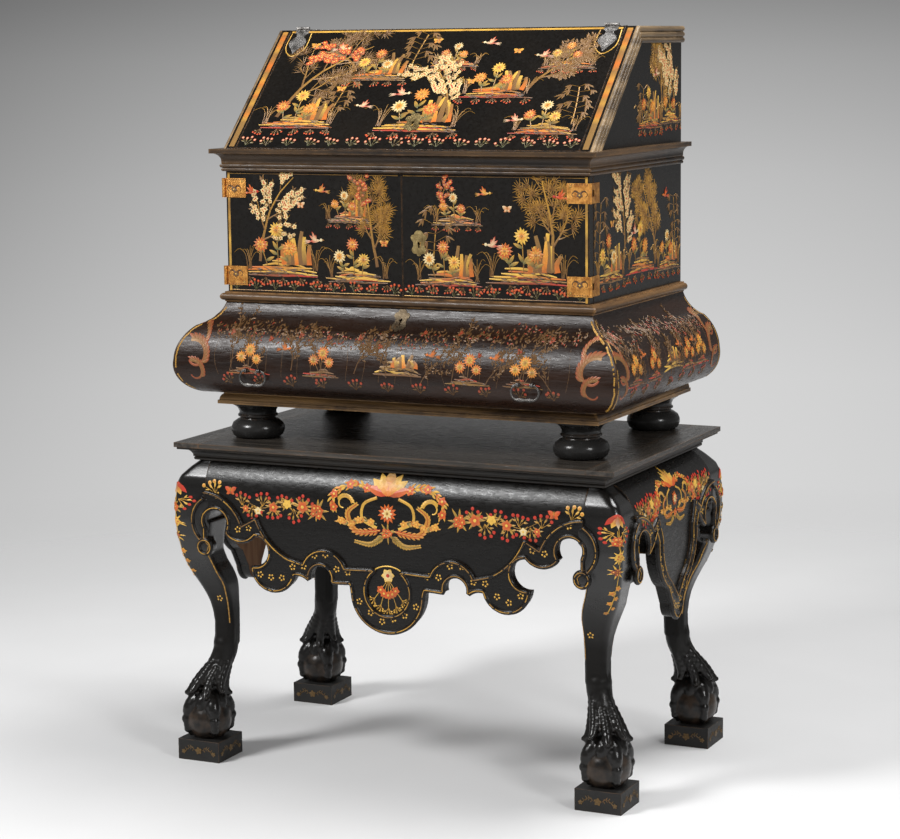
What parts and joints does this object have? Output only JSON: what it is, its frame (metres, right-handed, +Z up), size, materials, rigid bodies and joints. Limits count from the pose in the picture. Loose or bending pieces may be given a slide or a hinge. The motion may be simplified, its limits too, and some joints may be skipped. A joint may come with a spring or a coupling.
{
  "type": "desk-on-stand",
  "caption": "Lacquered slope-front desk with a swelled drawer and a pair of doors, on a stand with carved aprons and cabriole claw-and-ball legs.",
  "frame": {"origin": "on the floor under the middle of the stand", "axes": "+Z up, -Y towards the front, +X towards the viewer's right"},
  "size_m": [1.035, 0.626, 1.5572],
  "materials": {
    "black_lacquer": "black lacquer, satin",
    "bombe_lacquer": "brown-black lacquer, worn, glossy",
    "moulding_lacquer": "dark lacquer worn to brown on its edges",
    "stand_top_wood": "dull ebonised boards",
    "plinth_lacquer": "matte dark lacquer",
    "raw_wood": "bare wood",
    "gilt_brass": "aged gilt brass",
    "dark_iron": "dark wrought iron"
  },
  "bodies": {
    "stand_and_case": {"leg_front_right": "black_lacquer", "leg_front_left": "black_lacquer", "leg_rear_right": "black_lacquer", "leg_rear_left": "black_lacquer", "plinth_blocks": "plinth_lacquer", "apron_front": "black_lacquer", "apron_right": "black_lacquer", "apron_left": "black_lacquer", "apron_rear": "black_lacquer", "apron_corner_blocks": "raw_wood", "stand_top_planks": "stand_top_wood", "stand_top_cleats": "stand_top_wood", "stand_moulding_front": "moulding_lacquer", "stand_moulding_rear": "moulding_lacquer", "stand_moulding_sides": "moulding_lacquer", "bun_feet": "moulding_lacquer", "base_moulding_front": "moulding_lacquer", "base_moulding_sides": "moulding_lacquer", "case_bottom": "raw_wood", "bombe_side_left": "bombe_lacquer", "bombe_side_right": "bombe_lacquer", "drawer_runners": "raw_wood", "drawer_case_back": "raw_wood", "waist_moulding_front": "moulding_lacquer", "waist_moulding_sides": "moulding_lacquer", "cupboard_floor": "raw_wood", "cupboard_shelf": "raw_wood", "case_side_left": "black_lacquer", "case_side_right": "black_lacquer", "case_back": "raw_wood", "cornice_front": "moulding_lacquer", "cornice_sides": "moulding_lacquer", "slope_floor": "raw_wood", "top_board": "black_lacquer", "side_reeding": "moulding_lacquer", "pigeonhole_shelf": "raw_wood", "pigeonhole_uprights": "raw_wood", "door_case_leaves": "gilt_brass", "lid_top_straps": "dark_iron", "hinge_pins": "dark_iron"},
    "lid": {"lid": "black_lacquer", "lid_straps": "dark_iron", "lid_lock": "dark_iron", "lid_escutcheon": "gilt_brass"},
    "left_door": {"door_left": "black_lacquer", "door_left_leaves": "gilt_brass"},
    "right_door": {"door_right": "black_lacquer", "door_right_leaves": "gilt_brass", "door_lock": "dark_iron", "door_escutcheon": "gilt_brass"},
    "drawer": {"drawer_front": "bombe_lacquer", "drawer_sides": "raw_wood", "drawer_back": "raw_wood", "drawer_bottom": "raw_wood", "drawer_lock": "dark_iron", "drawer_escutcheon": "gilt_brass", "drawer_pull_posts": "dark_iron"},
    "left_bail": {"drawer_bail_left": "dark_iron"},
    "right_bail": {"drawer_bail_right": "dark_iron"}
  },
  "joints": [
    {"name": "lid_hinge", "type": "hinge", "parent": "stand_and_case", "child": "lid", "pos_m": [0, 0.03547, 1.5538], "axis": [-1, 0, 0], "range_deg": [0, 210]},
    {"name": "left_door_hinge", "type": "hinge", "parent": "stand_and_case", "child": "left_door", "pos_m": [-0.4148, -0.2228, 1.1325], "axis": [0, 0, -1], "range_deg": [0, 170]},
    {"name": "right_door_hinge", "type": "hinge", "parent": "stand_and_case", "child": "right_door", "pos_m": [0.4148, -0.2228, 1.1325], "axis": [0, 0, 1], "range_deg": [0, 170]},
    {"name": "drawer_slide", "type": "slide", "parent": "stand_and_case", "child": "drawer", "axis": [0, -1, 0], "range_m": [0, 0.32]},
    {"name": "left_bail_swing", "type": "hinge", "parent": "drawer", "child": "left_bail", "pos_m": [-0.308, -0.3065, 0.8523], "axis": [-1, 0, 0], "range_deg": [0, 85]},
    {"name": "right_bail_swing", "type": "hinge", "parent": "drawer", "child": "right_bail", "pos_m": [0.308, -0.3065, 0.8523], "axis": [-1, 0, 0], "range_deg": [0, 85]}
  ]
}
